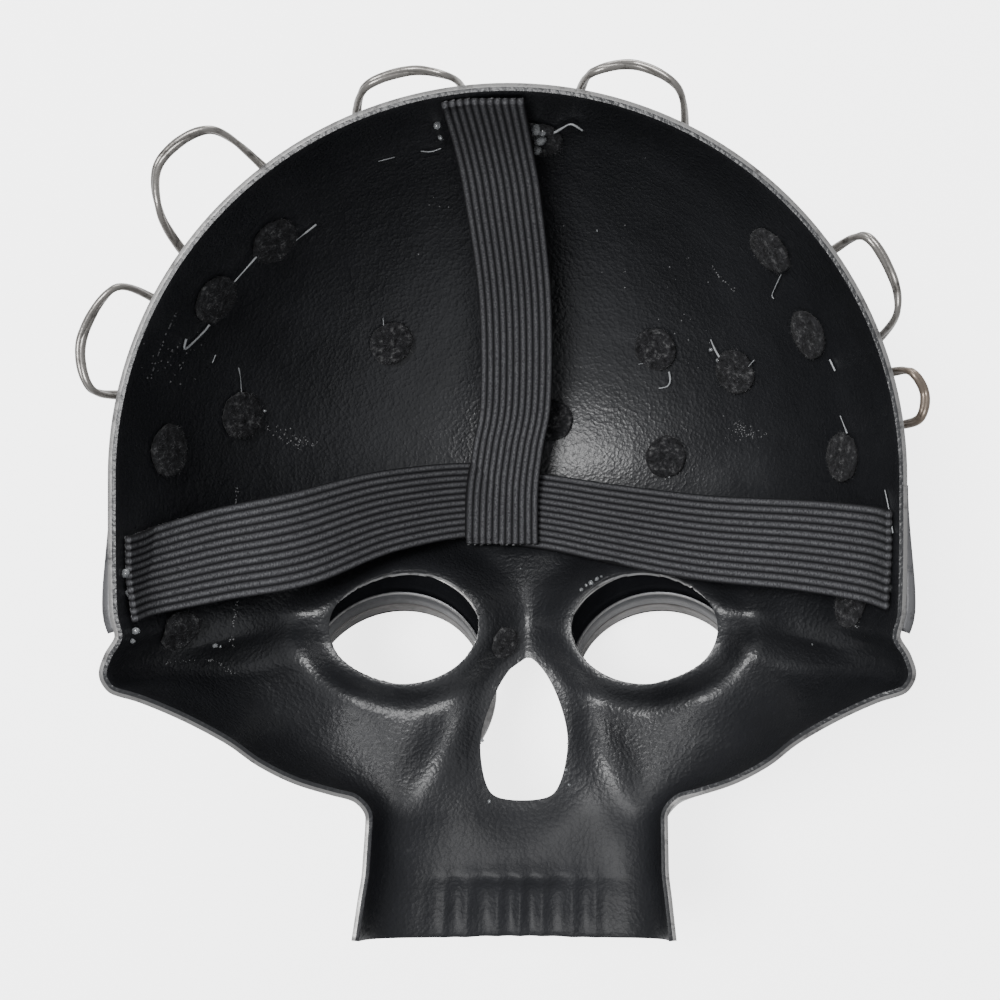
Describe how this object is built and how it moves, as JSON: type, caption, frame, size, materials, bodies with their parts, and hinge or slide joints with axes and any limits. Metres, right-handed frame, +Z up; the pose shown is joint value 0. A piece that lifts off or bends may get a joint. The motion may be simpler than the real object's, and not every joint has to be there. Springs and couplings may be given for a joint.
{
  "type": "skull mask",
  "caption": "Moulded skull half-mask lying face down: hollow black inside, goggle rings over the eye holes, elastic straps, felt discs and wire loops round the rim.",
  "frame": {"origin": "on the floor under the middle of the mask's plan, where it lies face down", "axes": "+Z up out of the hollow, +Y towards the crown, X across the face; the teeth are towards -Y"},
  "size_m": [0.1911, 0.2101, 0.0895],
  "materials": {
    "shell": "semi-gloss black inside with a leather-like grain, silver paint outside",
    "goggle_cup": "satin silver paint on plastic",
    "goggle_bezel": "satin silver paint on plastic",
    "goggle_strap": "satin silver paint",
    "elastic": "ribbed charcoal elastic, matte",
    "wire": "antiqued silver",
    "felt": "charcoal felt, matte"
  },
  "bodies": {
    "root": {"mask_shell": "shell", "goggle_cup_left": "goggle_cup", "goggle_cup_right": "goggle_cup", "goggle_bezel_left": "goggle_bezel", "goggle_bezel_right": "goggle_bezel", "goggle_strap_left": "goggle_strap", "goggle_strap_right": "goggle_strap", "strap_across": "elastic", "strap_crown": "elastic", "wire_loop_1": "wire", "wire_loop_2": "wire", "wire_loop_3": "wire", "wire_loop_4": "wire", "wire_loop_5": "wire", "wire_loop_6": "wire", "felt_dot_01": "felt", "felt_dot_02": "felt", "felt_dot_03": "felt", "felt_dot_04": "felt", "felt_dot_05": "felt", "felt_dot_06": "felt", "felt_dot_07": "felt", "felt_dot_08": "felt", "felt_dot_09": "felt", "felt_dot_10": "felt", "felt_dot_11": "felt", "felt_dot_12": "felt", "felt_dot_13": "felt", "felt_dot_14": "felt", "felt_dot_15": "felt", "felt_dot_16": "felt"}
  },
  "joints": []
}
